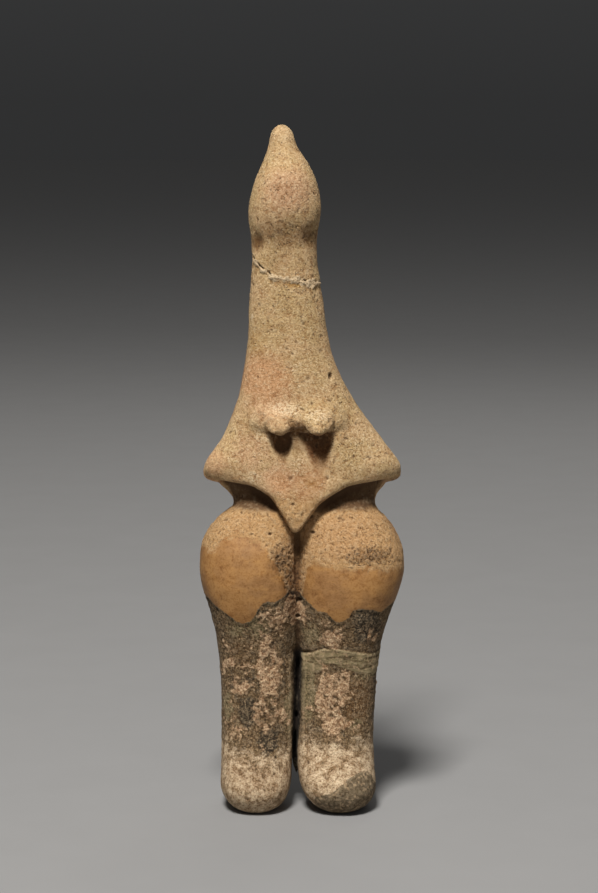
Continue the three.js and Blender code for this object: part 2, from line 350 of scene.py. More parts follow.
over_crack = crack_height(rest, CRACK, NECK_AXIS) + 0.35 * hills(rest, 2.6, 41)
on_neck = ramp(z, 224, 228) * ramp(252 - z, 0, 3)
filler = np.zeros(len(rest))
for middle_x, middle_z, half_width, half_height in FILLER_BEADS:
    bead = ellipse(x, z, (middle_x, middle_z), (half_width, half_height)) + 0.35 * hills(rest, 1.3, 42)
    filler = np.maximum(filler, ramp(bead, -0.05, 0.45) * front)
squeezed = 0.30 + 0.35 * hills(rest, 3.4, 44)
thin_line = ramp(squeezed - np.abs(over_crack + 0.55), -0.12, 0.22) * on_neck
filler = np.maximum(filler, 0.8 * thin_line)
opening = np.exp(-(((over_crack - 0.15) / 0.42) ** 2)) * on_neck
gap = ramp(hills(rest, 3.6, 43), -0.5, 0.5)
push -= opening * (0.35 + 0.6 * gap) * (1 - filler)
push += filler * (0.5 + 0.35 * hills(rest, 1.7, 45))
push += 0.2 * ramp(over_crack, 0.3, 1.0) * ramp(6 - over_crack, 0, 5) * on_neck
push -= 0.15 * ramp(-over_crack, 0.8, 1.6) * ramp(over_crack + 5, 0, 3) * on_neck
opening = opening * (0.3 + 0.7 * gap)
print(f"crack: {int((opening > 0.5).sum())} points cut, {int((filler > 0.5).sum())} points filled")

# %% Smear over the broken leg
LEG_BREAK = ([-2, -0.3, 7.8, 14.7, 20.9, 31.5, 40], [68.8, 69.6, 72.4, 73.4, 71.8, 69.8, 70])

over_break = z - border(LEG_BREAK, x) + 0.3 * hills(rest, 5, 51) - 2.2 * ramp(y, -6, 8)
right_leg = ramp(x, -1.5, 0.5)
push -= 0.9 * np.exp(-((over_break / 0.6) ** 2)) * right_leg * (0.25 + 0.75 * ramp(9 - x, 0, 9))
smear = ramp(-over_break, -0.3, 0.6) * ramp(over_break + 9.5 + 2 * hills(rest, 6, 52), 0, 1.5) * right_leg
level = rest * (0.22, 0.22, 1.0)
scratches = hills(level, 1.1, 53)
push += smear * (0.28 + 0.17 * scratches)
print(f"smeared band: {int((smear > 0.5).sum())} points")

# %% [markdown]
# ## Crusts, pits and worn slip
# On the legs lime from the soil has set into raised, rosy crusts with sharp edges. Bare clay lost its
# fine sand and is full of pits. The slip is a skin with thickness: below its ragged lower border the
# surface lies deeper. Geometry carries all that is over half a millimetre, so it casts true shadows.

# %% Raise the crusts
CRUSTS = (
    (-14.0, 66, 7.0, 15, 0.78), (-29, 63, 9.0, 6.5, 0.64), (-33, 76, 4.5, 6.0, 0.52),
    (-27.5, 56, 8.0, 6.0, 0.54), (-14.5, 45.5, 9.0, 12, 0.62), (-12, 84, 9, 11, 0.66),
    (-23, 50, 6, 6, 0.42), (-32, 43.5, 5.0, 9, 0.46), (-27, 32, 8, 8.0, 0.42), (-22, 74, 8, 8, 0.36),
    (13.0, 81, 9, 10, 0.66), (3, 80, 5, 9, 0.44), (12.6, 48, 8.4, 18, 0.78), (16.5, 58, 6, 6, 0.80),
    (24.5, 49, 9.5, 15, 0.32), (30, 79, 4.5, 6, 0.44), (20, 34, 10, 9, 0.56), (4, 40, 5, 12, 0.36),
    (-3.5, 90, 6, 9, 0.85),
)
CRUST_SPRINKLE = 0.16

crust_share = np.full(len(rest), CRUST_SPRINKLE)
for middle_x, middle_z, half_width, half_height, strength in CRUSTS:
    here = ramp(ellipse(x, z, (middle_x, middle_z), (half_width, half_height)), -0.25, 0.45)
    crust_share = np.maximum(crust_share, here * strength)
behind = ramp(y, -6, 6) * (0.35 + 0.5 * hills(rest, 18, 61))
crust_share = crust_share * (1 - ramp(y, -6, 6)) + np.clip(behind, 0, 1)
crust_share *= ramp(area["legs"], 0.2, 2.5) * ramp(-area["feet"], -4, 4)
patchy = crust_share + 0.34 * hills(rest, 5.0, 62, layers=3)
plate = ramp(patchy + 0.3 * hills(rest, 1.5, 63, layers=3) - 0.66, -0.2, 0.2)
loose = rest + 0.5 * np.stack([hills(rest, 1.5, 67 + k) for k in range(3)], axis=1)
away, own = strewn(loose, 1.9, 64)
settled = patchy - 0.42 - 0.4 * np.modf(own * 37)[0]
crumbs = ramp(0.4 + 0.9 * own - away, -0.3, 0.6) * ramp(settled, -0.1, 0.15)
crust = np.maximum(plate, crumbs)
push += plate * (0.2 + 0.2 * hills(rest, 2.0, 70)) + crumbs * 0.34
push -= ramp(area["legs"], -0.2, 1.4) * 0.2
push += (0.14 * hills(rest, 2.6, 65, layers=3) + 0.10 * hills(rest, 1.1, 66)) * ramp(area["legs"], 0, 2)
print(f"crust covers {crust.mean():.0%} of the skin")

# %% Pit the bare clay
PITTED_BAND = ((29, 114.5), (14, 5.5))
INNER_THIGH = ((-8.5, 113), (7.5, 10))
PITS = ((12.5, 192.3, 0.7, 1.3, 1.0), (-13.9, 124.0, 0.9, 0.55, 1.1), (4.3, 124.4, 0.8, 0.5, 1.0),
        (-1.4, 94.1, 1.1, 0.8, 1.2), (-1.8, 86.8, 0.8, 0.7, 1.1), (-4.0, 137.5, 0.7, 0.4, 0.7))

worn = -np.minimum(area["slip"], -area["legs"]) + 1.6 * hills(rest, 1.8, 78) + 1.2 * hills(rest, 5, 79)
bare = ramp(worn, -1.6, 2.4) * (1 - ramp(area["legs"], -0.5, 1) * 0.55)
coarse = np.clip(ramp(area["thigh"], -1, 2) + craggy, 0, 1)
band = ramp(ellipse(x, z, *PITTED_BAND), 0, 0.5) * front
inner_thigh = ramp(ellipse(x, z, *INNER_THIGH), 0, 0.4) * front
pitting = np.clip(0.22 + 0.16 * coarse + 0.62 * band + 0.5 * inner_thigh, 0, 1) * bare
bent = rest + 0.7 * np.stack([hills(rest, 1.6, 74 + k) for k in range(3)], axis=1)
away, own = strewn(bent, 2.5, 71)
chance = scramble(np.round(own[:, None] * [997, 331, 71]).astype(int), 3)
pits = ramp(0.25 + 0.7 * own**2 - away, -0.2, 0.25) * (chance < pitting * 1.2)
push -= 0.5 * pits * (0.5 + 0.5 * pitting)
away, own = strewn(bent, 1.7, 84)
groove_side = 0.6 * ramp(ellipse(x, z, (-4, 101), (7, 22)), 0, 0.4) * front
eaten = np.maximum(np.maximum(band, inner_thigh), groove_side)
craters = ramp(0.2 + 0.6 * own - away, -0.25, 0.25) * ramp(eaten - 0.3 * own, 0.1, 0.4)
craters *= 1 - ramp(area["legs"], -1, 1)
push -= 0.5 * craters
pits = np.maximum(pits, (0.9 - 0.7 * groove_side) * craters)
pits_named = np.zeros(len(rest))
for middle_x, middle_z, half_width, half_height, deep in PITS:
    hollow = ellipse(x, z, (middle_x, middle_z), (half_width, half_height))
    here = ramp(hollow + 0.4 * hills(rest, 1.4, 77), -0.5, 0.3) * front
    push -= deep * here
    pits_named = np.maximum(pits_named, here)
grain = 0.10 * hills(rest, 1.6, 72, layers=3)
push += grain * (0.12 + 0.88 * bare) * (1 + 1.2 * coarse + 1.4 * band + 1.2 * inner_thigh)
print(f"pits cover {(pits > 0.4).mean():.0%} of the skin")

# %% Lay the patch on the right toe
TOE_PATCH_TOP = ([6, 13, 17.6, 21.8, 25.3, 28.9, 33, 36], [9, 11.5, 14.8, 17.6, 19.0, 18.8, 15.5, 13])



def toe_patch_depth(points):
    """How far inside the patch the points are, in mm. Its back edge runs askew down the foot's side."""
    x, y, z = points.T
    inside = np.minimum(border(TOE_PATCH_TOP, x) - z, x - 5.5 + hills(points, 4, 82))
    back_edge = -8 - y - 0.55 * (z - 5) + 2.6 * hills(points, 7, 83, layers=3)
    return np.minimum(inside, back_edge) + 0.4 * hills(points, 2.2, 81)


toe_patch = toe_patch_depth(rest)
push += 0.35 * ramp(toe_patch, 0, 0.5) * ramp(x, 12, 17)
print(f"toe patch: {int((toe_patch > 0).sum())} points")

# %% [markdown]
# ## Set the shape and thin the skin
# The pushes are added up along the way that the skin faces. The sole stays flat, because the figure
# stands on it. The skin then has far more squares than flat places need. A collapse decimate merges
# those and keeps small triangles where pits and cracks bend the surface. Each point also keeps its old
# place as an attribute, so that the finishes below can still be worked out where they belong.

# %% Push the skin and thin it out
MOST_TRIANGLES = 192000

flat_sole = ramp(z, 0.2, 3.5)
moved = rest + facing * (push * flat_sole)[:, None]
moved[:, 2] = np.clip(moved[:, 2], 0, high.z / MM)
clay.data.vertices.foreach_set("co", (moved * MM).astype(np.float32).ravel())
fields = {
    "at": rest, "out": facing, "crust": crust, "pits": np.maximum(pits * 0.8, pits_named),
    "filler": filler, "opening": opening, "smear": smear, "under_breasts": under_breasts,
}
for name, values in fields.items():
    kind, key = ("FLOAT_VECTOR", "vector") if values.ndim == 2 else ("FLOAT", "value")
    clay.data.attributes.new(name, kind, "POINT").data.foreach_set(key, values.astype(np.float32).ravel())
triangles = 2 * len(clay.data.polygons)
thin = clay.modifiers.new("thin", "DECIMATE")
thin.ratio = min(1.0, MOST_TRIANGLES / triangles)
bake_modifiers(clay)
clay.data.shade_smooth()
clay.data.calc_loop_triangles()
print(f"skin thinned from {triangles} to {len(clay.data.loop_triangles)} triangles")

# %% [markdown]
# ## Where dirt and painted shade settle and edges rub pale
# Dust stays in small pits, and shade falls in the wider hollows. To find both, each point is compared with
# the average of its neighbours, over and over, so that the comparison reaches further out. A point below
# its surroundings gets darker, as dirt in the pits and as painted shade in the hollows, and one above
# them gets rubbed. This follows the true shape, so the painted shade agrees with the shadows from every
# side.

# %% Measure hollows and ridges
def read(name, size=1):
    """One of the skin's stored fields."""
    layer = clay.data.attributes[name].data
    found = np.empty(len(layer) * size, np.float32)
    layer.foreach_get("vector" if size == 3 else "value", found)
    return found.reshape(-1, size).astype(float) if size > 1 else found.astype(float)


def neighbour_average(values, ends, count):
    """Each point's neighbours, averaged."""
    near = np.bincount(ends[:, 0], weights=values[ends[:, 1]], minlength=len(count))
    far = np.bincount(ends[:, 1], weights=values[ends[:, 0]], minlength=len(count))
    return (near + far) / count


edges = np.empty(len(clay.data.edges) * 2, np.int32)
clay.data.edges.foreach_get("vertices", edges)
edges = edges.reshape(-1, 2)
now = points_of(clay.data)
count = np.maximum(np.bincount(edges.ravel(), minlength=len(now)), 1)
around = now.copy()
depth = {}
for round_number in range(1, 25):
    for axis in range(3):
        around[:, axis] = neighbour_average(around[:, axis], edges, count)
    if round_number in (2, 24):
        depth[round_number] = np.einsum("ij,ij->i", around - now, normals_of(clay.data))
print(f"deepest crevice {depth[24].max():.2f} mm, highest ridge {-depth[24].min():.2f} mm")

# %% Read back where each point belongs
at, out = read("at", 3), read("out", 3)
x, y, z = at.T
area = zones(at, out)
front = area["front"]
print(f"{front.mean():.0%} of the skin faces the front")

# %% [markdown]
# ## Where each stain lies
# Stains follow how the figure lay in the ground, so they can't be worked out. They are set down one by one,
# as soft ovals: middle across, middle height, half width, half height and strength. Some ovals paint shade
# instead of a stain: one set darkens the neck dents, the head's lower half, the hollows round the breasts,
# the thigh tops and the groove, two soot ovals darken the outer sides of the legs, and two lime ovals
# lighten the breast tops as a painted highlight. The ovals stop at the sides. Behind, slow hills take
# over from them, with about the same share of each stain.

# %% Set down the stains
STAINS = {
    "olive": ((2.4, 53, 5.5, 21, 1), (-19, 84, 8, 11, 0.8), (-29, 82, 8, 8, 0.65), (4, 79, 8, 10, 0.6),
              (28, 60, 7, 4, 0.7), (24, 38, 6, 6, 0.6), (-6, 44, 4.5, 26, 0.55),
              (-33, 46, 5, 12, 0.6), (14, 9, 11, 7, 0.7)),
    # Soot patches; the last two ovals are painted shade down the outer sides of both legs.
    "soot_and_edge_shade": ((28, 84, 9.5, 14, 1.1), (-23.5, 44, 7.5, 11, 1.1), (-15, 31.5, 8, 10, 1),
             (-24, 57, 6, 5, 0.7), (-34, 24, 4.5, 9, 0.6), (-12, 69, 4, 7, 0.65),
             (-9, 56, 5, 5, 0.65), (-18.5, 89, 6, 5, 0.6), (-32, 90, 5, 5, 0.5), (24, 68, 12, 4, 0.5),
             (34.5, 56, 4, 40, 0.75), (-38, 56, 4, 32, 0.7)),
    "rust": ((24, 49, 10, 17, 1), (-27, 70, 9, 13, 0.6), (14, 76, 10, 5, 0.6), (-20, 37, 15, 13, 0.45),
             (11.5, 33, 5.5, 7, 0.6), (-31, 33, 6, 8, 0.5), (-8, 84, 6, 10, 0.5), (20, 30, 7, 6, 0.4)),
    "rosy": ((18, 123, 24, 15, 0.75), (-10, 148, 14, 11, 0.7), (-22, 160, 14, 14, 0.5),
             (-7, 272, 17, 15, 0.75), (-14, 181, 16, 14, 0.55), (-24, 128, 14, 8, 0.3),
             (10, 270, 6, 8, 0.4)),
    "warm": ((-17, 191, 19, 16, 0.9), (-38, 154, 10, 9, 0.6), (-9, 146, 10, 10, 0.6),
             (2, 146, 13, 14, 0.6), (-24, 118, 16, 8, 0.3)),
    # Lime spots; the first two ovals, on the breast tops, are partly a painted highlight.
    "lime_and_highlight": ((-7, 178.5, 14, 5.5, 0.85), (6, 176, 12, 5, 0.75), (-17, 167, 8, 8, 0.6), (-3, 196, 8, 6, 0.6),
             (-1.5, 153, 8, 10, 0.6), (-21, 148, 9, 6, 0.6), (-21.7, 217.6, 1.2, 2.5, 1),
             (3, 187, 20, 8, 0.4), (-30, 158, 10, 8, 0.4), (27, 164, 16, 13, 0.5)),
    "porous": ((-7, 254, 18, 12, 0.7), (-2, 264, 10, 12, 0.6), (-8, 228, 8, 10, 0.6),
               (2, 234, 9, 14, 0.65), (20, 166, 22, 22, 0.45), (18, 186, 12, 16, 0.5),
               (-1, 172, 7, 8, 0.9), (-8.5, 113, 8, 11, 1.3), (29, 114.5, 16, 7, 1.3),
               (-4, 101, 6, 20, 1)),
    # Painted shade, not a stain: neck dents, head's lower half, hollows round the breasts, thigh tops,
    # groove.
    "painted_shade": ((-19.8, 250, 4.5, 5.5, 1.0), (3.8, 251, 7.5, 7, 0.65), (-1, 146, 14, 12, 0.3),
             (-7, 255, 18, 11, 0.5),
             (-7, 268, 17, 17, 0.3), (-12, 241, 10, 6, 0.25), (-3, 118, 7, 12, 0.6),
             (-9, 113, 7, 9, 0.7), (29, 115, 14, 5, 0.6), (-2.2, 169.5, 6.5, 6.5, 1.2),
             (-20, 17, 15, 9, 0.3), (-4, 101, 7, 20, 1), (-1, 164, 8, 6, 0.6)),
    "ochre": ((-3, 231.5, 6, 2.2, 0.6), (-20, 206, 8, 10, 0.3), (4, 146, 6, 5, 0.3)),
}
print(f"{sum(map(len, STAINS.values()))} ovals for {len(STAINS)} stains")


# %% Store the stains on the skin
def stain(name):
    """How strongly a stain shows at each point, from 0 to about 1."""
    found = np.zeros(len(x))
    for middle_x, middle_z, half_width, half_height, strength in STAINS[name]:
        oval = ramp(ellipse(x, z, (middle_x, middle_z), (half_width, half_height)), 0, 0.8)
        found = np.maximum(found, oval * strength)
    order = list(STAINS).index(name)
    return found * front + 0.75 * (1 - front) * ramp(hills(at, 17, 91 + order, layers=3), 0.05, 0.8)


def store(name, values):
    """Keep a field on the skin for the material to read."""
    layer = clay.data.attributes.get(name) or clay.data.attributes.new(name, "FLOAT", "POINT")
    layer.data.foreach_set("value", np.asarray(values, np.float32).ravel())


for name in STAINS:
    store(name, stain(name))
print("stains stored:", ", ".join(STAINS))

# %% Store the other masks
toe_patch = np.clip(toe_patch_depth(at), -3, 3)
# Where painted shadow goes in the slit between the legs.
slit_middle = -1.9 - 0.02 * (70 - z)
slit_shadow_mask = ramp(y, -10, -5) * ramp(12 - y, 0, 3) * ramp(2.4 - np.abs(x - slit_middle), 0, 1.4)
slit_shadow_mask *= ramp(72 - z, 0, 3) * ramp(-out[:, 1], -0.6, -0.2)
# Where painted shade goes under the torso's lower edge, at the waist.
shade_under_edge = ramp(border(APRON_EDGE, x) - z, -1, 1) * ramp(z - 131, 0, 5) * ramp(y, -16.5, -11)
for name, values in (
    ("slip", np.clip(area["slip"], -4, 4)), ("legs", np.clip(area["legs"], -4, 4)),
    ("thigh", ramp(np.minimum(area["thigh"] + 5, 139 - z), -1.5, 1.5)),
    ("feet", ramp(area["feet"], -11, 9)),
    # Dirt in the small pits, and painted shade in the wider hollows.
    ("dirt_and_shade", 0.7 * ramp(depth[2], 0.02, 0.16) + ramp(depth[24], 0.2, 1.0)),
    ("rubbed", ramp(-depth[2], 0.01, 0.10)), ("toe_patch", toe_patch),
    # Painted shade under the torso's edge, and painted shadow in the slit.
    ("recess_shade", shade_under_edge * front), ("slit_shadow", slit_shadow_mask),
):
    store(name, values)
print("stored:", [a.name for a in clay.data.attributes if not a.name.startswith(".")])

# %% [markdown]
# ## The finish as layers
# A conservator would read this surface as layers: fired clay, slip over it, soil and crust over that,
# then the filler. The material is built in the same order. Each layer is mixed over the last with a
# mask: a stored field plus fine noise, cut with a steep ramp, which gives edges as ragged as the real
# ones and keeps them sharp between the skin's points.

# %% Helpers for building a finish
def tint(red, green, blue):
    """A colour as the eye reads it, from 0 to 255, turned into light."""
    return [((v / 255 + 0.055) / 1.055) ** 2.4 for v in (red, green, blue)] + [1.0]


class Finish:
    """A material and short names for the nodes that it is made of."""

    def __init__(self, name):
        self.material = bpy.data.materials.new(name)
        self.material.use_nodes = True
        self.tree = self.material.node_tree
        self.tree.nodes.clear()
        self.place = self.node("ShaderNodeTexCoord").outputs["Object"]

    def node(self, kind, inputs=None, **settings):
        """A new node with its settings, and with values or other nodes' outputs fed to its inputs."""
        made = self.tree.nodes.new(kind)
        for name, value in settings.items():
            setattr(made, name, value)
        for name, value in (inputs or {}).items():
            if isinstance(value, bpy.types.NodeSocket):
                self.tree.links.new(value, made.inputs[name])
            else:
                made.inputs[name].default_value = value
        return made

    def field(self, name):
        """A stored field of the skin."""
        return self.node("ShaderNodeAttribute", attribute_name=name).outputs["Fac"]

    def sum(self, operation, a, b=0.0):
        """Arithmetic on two numbers."""
        return self.node("ShaderNodeMath", {0: a, 1: b}, operation=operation).outputs[0]

    def times(self, *values):
        """All of the values multiplied."""
        total = values[0]
        for value in values[1:]:
            total = self.sum("MULTIPLY", total, value)
        return total

    def cut(self, value, start, end):
        """0 at start, 1 at end, with a soft rise between."""
        made = self.node("ShaderNodeMapRange", {"Value": value, "From Min": start, "From Max": end},
                         interpolation_type="SMOOTHSTEP")
        return made.outputs["Result"]

    def stretched(self, stretch):
        """Places on the skin, squeezed along each axis so that patterns there come out longer."""
        if not stretch:
            return self.place
        return self.node("ShaderNodeVectorMath", {0: self.place, 1: stretch}, operation="MULTIPLY").outputs[0]

    def cloud(self, size, detail=3.0, rough=0.6, stretch=None):
        """Noise about size mm across, around 0.5."""
        made = self.node("ShaderNodeTexNoise", {
            "Vector": self.stretched(stretch), "Scale": 1 / (size * MM), "Detail": detail,
            "Roughness": rough})
        return made.outputs["Fac"]

    def grains(self, size):
        """Sand grains size mm across, each with a number of its own from 0 to 1."""
        made = self.node("ShaderNodeTexVoronoi", {"Vector": self.place, "Scale": 1 / (size * MM)})
        return self.node("ShaderNodeSeparateColor", {"Color": made.outputs["Color"]}).outputs["Red"]

    def mask(self, value, noise, amount, middle=0.5, soft=0.08):
        """A field made ragged by noise, then cut steeply at its middle."""
        ragged = self.times(self.sum("SUBTRACT", noise, 0.5), amount)
        return self.cut(self.sum("ADD", value, ragged), middle - soft, middle + soft)

    def over(self, below, colour, mask):
        """Lay a colour over what is below, where the mask is 1."""
        return self.node("ShaderNodeMix", {0: mask, 6: below, 7: colour}, data_type="RGBA").outputs[2]

    def dim(self, below, colour, mask):
        """Darken what is below by a colour, where the mask is 1."""
        return self.node("ShaderNodeMix", {0: mask, 6: below, 7: colour}, data_type="RGBA",
                         blend_type="MULTIPLY").outputs[2]


finish = Finish("weathered_terracotta")
fine = finish.cloud(0.8, detail=3.0)
speckle = finish.cloud(0.75, detail=4.0, rough=0.72)
sand = finish.grains(0.62)
gravel = finish.grains(1.0)
crumb = finish.cloud(0.9, detail=5.0, rough=0.75)
mid = finish.cloud(3.2, detail=5.0, rough=0.68)
wide = finish.cloud(14, detail=4.0)
print("finish started:", finish.material.name)

# %% [markdown]
# ### Fired clay
# The fired clay is a sandy beige that turns rosy or orange where the fire was hotter. Sand grains show
# as pale specks, and the pits between them as dark ones. Pits are darker than their shade alone would
# make them, because soil fills them. Thin noise cut low down gives pits of uneven shape, which look
# more like worn clay than round dots do.

# %% Colour the bare clay
CLAY_SAND = tint(203, 170, 126)
CLAY_STRAW = tint(196, 166, 119)
CLAY_ROSE = tint(206, 166, 128)
CLAY_FIRE = tint(206, 160, 116)
CLAY_OCHRE = tint(188, 146, 84)
CLAY_MOTTLE = tint(230, 222, 212)
CLAY_DULL = tint(222, 212, 200)
CLAY_GRAIN = tint(234, 227, 218)
PIT_BROWN = tint(98, 70, 45)
GRIT_PALE = tint(228, 204, 166)

colour = finish.over(CLAY_SAND, CLAY_STRAW, finish.cut(wide, 0.4, 0.62))
colour = finish.over(colour, CLAY_ROSE, finish.mask(finish.field("rosy"), mid, 1.0, 0.4, 0.4))
colour = finish.over(colour, CLAY_FIRE, finish.mask(finish.field("warm"), mid, 0.9, 0.4, 0.4))
colour = finish.over(colour, CLAY_OCHRE, finish.mask(finish.field("ochre"), mid, 0.8, 0.4, 0.35))
colour = finish.dim(colour, CLAY_MOTTLE, finish.cut(mid, 0.5, 0.62))
colour = finish.dim(colour, CLAY_DULL, finish.cut(crumb, 0.52, 0.40))
colour = finish.dim(colour, CLAY_GRAIN, finish.cut(sand, 0.6, 0.0))
cluster = finish.cut(mid, 0.44, 0.60)
worn_open = finish.sum("ADD", finish.field("porous"), finish.sum("SUBTRACT", cluster, finish.field("warm")))
porous = finish.sum("ADD", finish.times(worn_open, 0.06), finish.times(wide, 0.10))
thin_noise = finish.cloud(0.8, detail=2.0, rough=0.6)
pit_level = finish.sum("ADD", porous, 0.285)
pores = finish.cut(finish.sum("SUBTRACT", pit_level, thin_noise), -0.01, 0.035)
large_noise = finish.cloud(1.15, detail=3.0, rough=0.55, stretch=(1.0, 1.0, 1.35))
holes = finish.cut(finish.sum("SUBTRACT", finish.sum("ADD", porous, 0.235), large_noise), -0.01, 0.03)
pale_grit = finish.cut(sand, 0.82, 1.0)
colour = finish.over(colour, GRIT_PALE, finish.times(pale_grit, 0.4))
colour = finish.over(colour, PIT_BROWN, finish.times(pores, 0.8))
colour = finish.over(colour, PIT_BROWN, finish.times(holes, 0.8))
print("clay layers:", len(finish.tree.nodes), "nodes")

# %% [markdown]
# ### The rough thigh tops and the slip
# On top of the thighs the slip has gone and the clay is a coarse pinkish crumb. Below it the slip is
# even and darker, rubbed nearly smooth, with faint level streaks from the tool. Its upper border is
# crumbled, and its lower border is a clean chipped edge.

# %% Colour the thighs
THIGH_CRUMB = tint(178, 136, 88)
CRUMB_PALE = tint(212, 172, 124)
CRUMB_DARK = tint(112, 80, 48)
SLIP_ORANGE = tint(166, 122, 72)
SLIP_TAN = tint(150, 110, 68)
SLIP_GOLD = tint(178, 132, 76)
SLIP_STREAK = tint(238, 232, 222)
SLIP_MOTTLE = tint(224, 212, 196)
SLIP_GRAIN = tint(234, 226, 214)

coarse = finish.field("thigh")
colour = finish.over(colour, THIGH_CRUMB, finish.times(coarse, 0.75))
colour = finish.over(colour, CRUMB_PALE, finish.times(coarse, finish.cut(crumb, 0.54, 0.64), 0.7))
colour = finish.over(colour, CRUMB_DARK, finish.times(coarse, finish.cut(crumb, 0.45, 0.38), 0.75))
colour = finish.over(colour, PIT_BROWN, finish.times(coarse, pores, 0.8))
colour = finish.over(colour, PIT_BROWN, finish.times(holes, coarse, 0.6))
streaks = finish.cloud(3.6, detail=5.0, rough=0.7, stretch=(0.5, 0.5, 1.2))
slip_colour = finish.over(SLIP_ORANGE, SLIP_TAN, finish.cut(wide, 0.40, 0.62))
slip_colour = finish.over(slip_colour, SLIP_GOLD, finish.times(finish.cut(streaks, 0.5, 0.66), 0.5))
slip_colour = finish.dim(slip_colour, SLIP_STREAK, finish.cut(streaks, 0.48, 0.36))
slip_colour = finish.dim(slip_colour, SLIP_MOTTLE, finish.cut(mid, 0.54, 0.66))
slip_colour = finish.dim(slip_colour, SLIP_GRAIN, finish.cut(sand, 0.5, 0.0))
slip_colour = finish.over(slip_colour, PIT_BROWN, finish.times(finish.cut(large_noise, 0.33, 0.29), 0.5))
flaking = finish.sum("ADD", finish.times(mid, 0.5), finish.times(crumb, 0.5))
slip = finish.mask(finish.field("slip"), flaking, 16.0, 0.4, 1.0)
colour = finish.over(colour, slip_colour, slip)
print("thigh layers:", len(finish.tree.nodes), "nodes")

# %% [markdown]
# ### The soiled legs and pale feet
# The legs have a grey-brown ground with olive, sooty and rusty areas, and painted shade down their outer
# sides. Rosy lime crusts lie over them, and their colour follows the raised lumps that were modelled
# before. Pale dust covers the feet. Each stain is broken up by two sizes of noise at once, because soil
# takes hold in spots within spots.

# %% Colour the ground of the legs
LEG_BROWN = tint(110, 87, 58)
LEG_UMBER = tint(62, 48, 31)
LEG_OLIVE = tint(130, 117, 84)
LEG_SOOT_AND_SHADE = tint(56, 47, 35)
LEG_RUST = tint(106, 76, 44)
LEG_MOTTLE = tint(214, 204, 192)
LEG_SPECK = tint(122, 108, 94)
FLECK = tint(196, 166, 128)
GAP_DARK = tint(40, 30, 20)

broken = finish.sum("ADD", finish.times(mid, 0.55), finish.times(crumb, 0.45))
leg_colour = finish.over(LEG_BROWN, LEG_UMBER, finish.cut(broken, 0.48, 0.56))
leg_colour = finish.over(leg_colour, LEG_RUST, finish.times(
    finish.mask(finish.field("rust"), broken, 3.4, 0.5, 0.16), 0.85))
leg_colour = finish.over(leg_colour, LEG_OLIVE, finish.times(
    finish.mask(finish.field("olive"), broken, 2.8, 0.5, 0.2), 0.85))
# Sooty patches, with painted shade down the outer sides of both legs.
leg_colour = finish.over(leg_colour, LEG_SOOT_AND_SHADE, finish.times(
    finish.mask(finish.field("soot_and_edge_shade"), broken, 3.0, 0.5, 0.14), 0.9))
flecks = finish.cut(finish.sum("ADD", gravel, finish.times(mid, 0.8)), 1.14, 1.24)
gaps = finish.cut(finish.sum("ADD", sand, finish.times(broken, 1.4)), 0.80, 0.70)
leg_colour = finish.dim(leg_colour, LEG_MOTTLE, finish.cut(crumb, 0.50, 0.40))
leg_colour = finish.dim(leg_colour, LEG_SPECK, finish.cut(speckle, 0.49, 0.38))
leg_colour = finish.over(leg_colour, FLECK, finish.times(finish.cut(speckle, 0.55, 0.64), 0.6))
leg_colour = finish.over(leg_colour, FLECK, finish.times(flecks, 0.25))
leg_colour = finish.over(leg_colour, GAP_DARK, finish.times(gaps, 0.5))
print("ground of the legs:", len(finish.tree.nodes), "nodes")

# %% Lay the smeared band and the crusts
SMEAR_CLAY = tint(150, 134, 98)
SMEAR_SCORE = tint(104, 88, 60)
CRUST_ROSE = tint(206, 170, 134)
CRUST_PALE = tint(238, 212, 174)
CRUST_SHADE = tint(150, 126, 104)
CRUST_GRAIN = tint(214, 200, 184)
CRUST_MOTTLE = tint(206, 194, 180)
CRUST_ROOT = tint(146, 116, 86)

scored = finish.cloud(1.2, detail=3.0, stretch=(0.16, 0.16, 1.0))
smear_colour = finish.over(SMEAR_CLAY, SMEAR_SCORE, finish.cut(scored, 0.47, 0.60))
smear_colour = finish.over(smear_colour, FLECK, finish.times(flecks, 0.5))
leg_colour = finish.over(leg_colour, smear_colour, finish.times(
    finish.mask(finish.field("smear"), broken, 1.6, 0.5, 0.25), 0.85))
crust_colour = finish.over(CRUST_ROSE, CRUST_PALE, finish.cut(crumb, 0.50, 0.62))
crust_colour = finish.dim(crust_colour, CRUST_SHADE, finish.cut(crumb, 0.48, 0.40))
crust_colour = finish.dim(crust_colour, CRUST_GRAIN, finish.cut(sand, 0.5, 0.0))
crust_colour = finish.over(crust_colour, GAP_DARK, finish.times(gaps, 0.4))
crust_colour = finish.dim(crust_colour, CRUST_MOTTLE, finish.cut(mid, 0.46, 0.60))
leg_colour = finish.over(leg_colour, CRUST_ROOT, finish.times(
    finish.mask(finish.field("crust"), crumb, 1.7, 0.36, 0.3), 0.75))
leg_colour = finish.over(leg_colour, crust_colour, finish.times(
    finish.mask(finish.field("crust"), speckle, 2.8, 0.54, 0.24), 0.9))
print("leg layers:", len(finish.tree.nodes), "nodes")

# %% Colour the feet and the toe patch
FOOT_DUST = tint(178, 149, 116)
FOOT_PALE = tint(230, 206, 172)
FOOT_MOTTLE = tint(220, 206, 188)
FOOT_SPECK = tint(172, 158, 142)
FOOT_GRAIN = tint(222, 212, 200)
PATCH_GREY = tint(94, 80, 59)
PATCH_DARK = tint(70, 58, 42)
PATCH_SPECK = tint(180, 168, 152)

